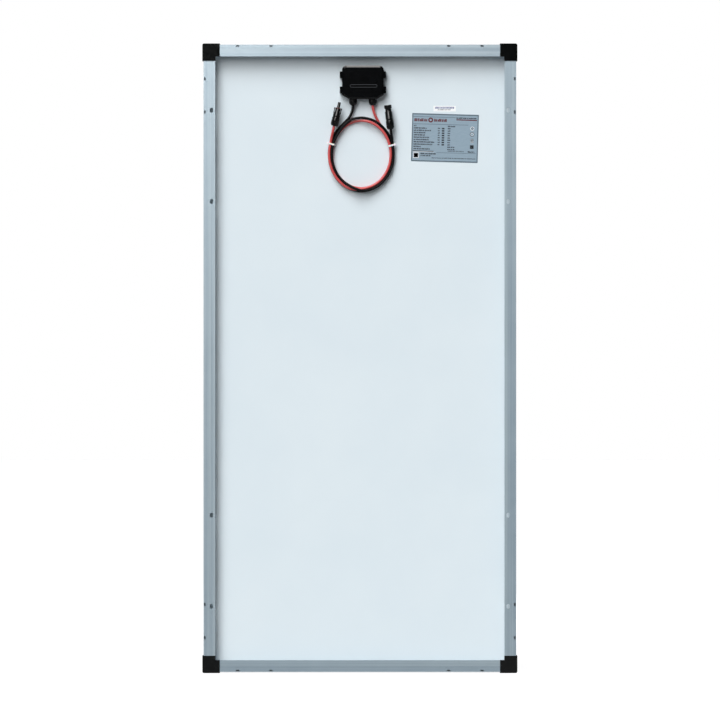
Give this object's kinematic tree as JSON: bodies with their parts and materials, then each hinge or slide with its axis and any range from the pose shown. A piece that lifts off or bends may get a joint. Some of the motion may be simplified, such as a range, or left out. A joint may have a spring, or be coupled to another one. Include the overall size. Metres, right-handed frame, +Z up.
{
  "type": "solar panel",
  "caption": "Framed photovoltaic panel with a rear junction box, two looped output cables with plug connectors, slotted mounting flanges and plastic corner caps.",
  "frame": {"origin": "middle of the panel: half its width, height and depth, corner caps included", "axes": "+Z up the panel's height, towards the junction box; +X across its width, to the right as seen from the rear; -Y out of the rear side, +Y out of the glass"},
  "size_m": [0.673, 0.038, 1.345],
  "materials": {
    "anodised": "satin clear anodised extrusion",
    "cap_plastic": "moulded black plastic",
    "sealant": "cured white silicone",
    "glass": "textured tempered glass",
    "encapsulant": "clear cured film",
    "backsheet": "white laminated film",
    "cells": "blue crystalline silicon",
    "tinned_ribbon": "tinned copper",
    "adhesive": "cured silicone",
    "box_plastic": "moulded black plastic with a fine grain",
    "seal_rubber": "soft black rubber",
    "terminal_brass": "stamped brass",
    "diode_epoxy": "black epoxy",
    "connector_plastic": "moulded black plastic",
    "black_jacket": "smooth black cable jacket",
    "red_jacket": "smooth red cable jacket",
    "contact_metal": "tinned copper contact",
    "o_ring": "red rubber",
    "tie_nylon": "natural nylon",
    "rating_label": "printed silver film",
    "serial_label": "printed white film"
  },
  "bodies": {
    "panel": {"frame_top": "anodised", "frame_bottom": "anodised", "frame_left": "anodised", "frame_right": "anodised", "corner_keys": "anodised", "edge_sealant": "sealant", "glass": "glass", "encapsulant_front": "encapsulant", "encapsulant_rear": "encapsulant", "backsheet": "backsheet", "cell_string_1": "cells", "cell_string_2": "cells", "cell_string_3": "cells", "cell_string_4": "cells", "tab_ribbons": "tinned_ribbon", "bus_ribbons": "tinned_ribbon", "lead_ribbons": "tinned_ribbon", "box_adhesive": "adhesive", "junction_box_base": "box_plastic", "lid_gasket": "seal_rubber", "terminals": "terminal_brass", "bypass_diodes": "diode_epoxy", "gland_seal_left": "seal_rubber", "gland_seal_right": "seal_rubber", "cable_black": "black_jacket", "cable_red": "red_jacket", "plug_body": "connector_plastic", "plug_seal": "seal_rubber", "plug_contact": "contact_metal", "plug_o_ring": "o_ring", "socket_body": "connector_plastic", "socket_seal": "seal_rubber", "socket_contact": "contact_metal", "cable_tie_left": "tie_nylon", "cable_tie_right": "tie_nylon", "rating_label": "rating_label", "serial_label": "serial_label"},
    "cap_top_left": {"corner_cap_top_left": "cap_plastic"},
    "cap_top_right": {"corner_cap_top_right": "cap_plastic"},
    "cap_bottom_left": {"corner_cap_bottom_left": "cap_plastic"},
    "cap_bottom_right": {"corner_cap_bottom_right": "cap_plastic"},
    "lid": {"junction_box_lid": "box_plastic"},
    "gland_nut_left": {"gland_nut_left": "connector_plastic"},
    "gland_nut_right": {"gland_nut_right": "connector_plastic"},
    "plug_nut": {"plug_nut": "connector_plastic"},
    "socket_nut": {"socket_nut": "connector_plastic"}
  },
  "joints": [
    {"name": "cap_top_left_pull", "type": "slide", "parent": "panel", "child": "cap_top_left", "axis": [-0.7071, 0, 0.7071], "range_m": [0, 0.06]},
    {"name": "cap_top_right_pull", "type": "slide", "parent": "panel", "child": "cap_top_right", "axis": [0.7071, 0, 0.7071], "range_m": [0, 0.06]},
    {"name": "cap_bottom_left_pull", "type": "slide", "parent": "panel", "child": "cap_bottom_left", "axis": [-0.7071, 0, -0.7071], "range_m": [0, 0.06]},
    {"name": "cap_bottom_right_pull", "type": "slide", "parent": "panel", "child": "cap_bottom_right", "axis": [0.7071, 0, -0.7071], "range_m": [0, 0.06]},
    {"name": "lid_pull", "type": "slide", "parent": "panel", "child": "lid", "axis": [0, -1, 0], "range_m": [0, 0.03]},
    {"name": "gland_nut_left_turn", "type": "hinge", "parent": "panel", "child": "gland_nut_left", "pos_m": [-0.0145, 0.002, 0.5475], "axis": [0, 0, -1], "range_deg": [-360, 0]},
    {"name": "gland_nut_right_turn", "type": "hinge", "parent": "panel", "child": "gland_nut_right", "pos_m": [0.0275, 0.002, 0.5475], "axis": [0, 0, -1], "range_deg": [-360, 0]},
    {"name": "plug_nut_turn", "type": "hinge", "parent": "panel", "child": "plug_nut", "pos_m": [-0.05278, -0.0065, 0.50625], "axis": [-0.2215, 0, -0.9751], "range_deg": [-360, 0]},
    {"name": "socket_nut_turn", "type": "hinge", "parent": "panel", "child": "socket_nut", "pos_m": [0.06473, -0.0065, 0.49942], "axis": [0.1271, 0, -0.9919], "range_deg": [-360, 0]}
  ]
}
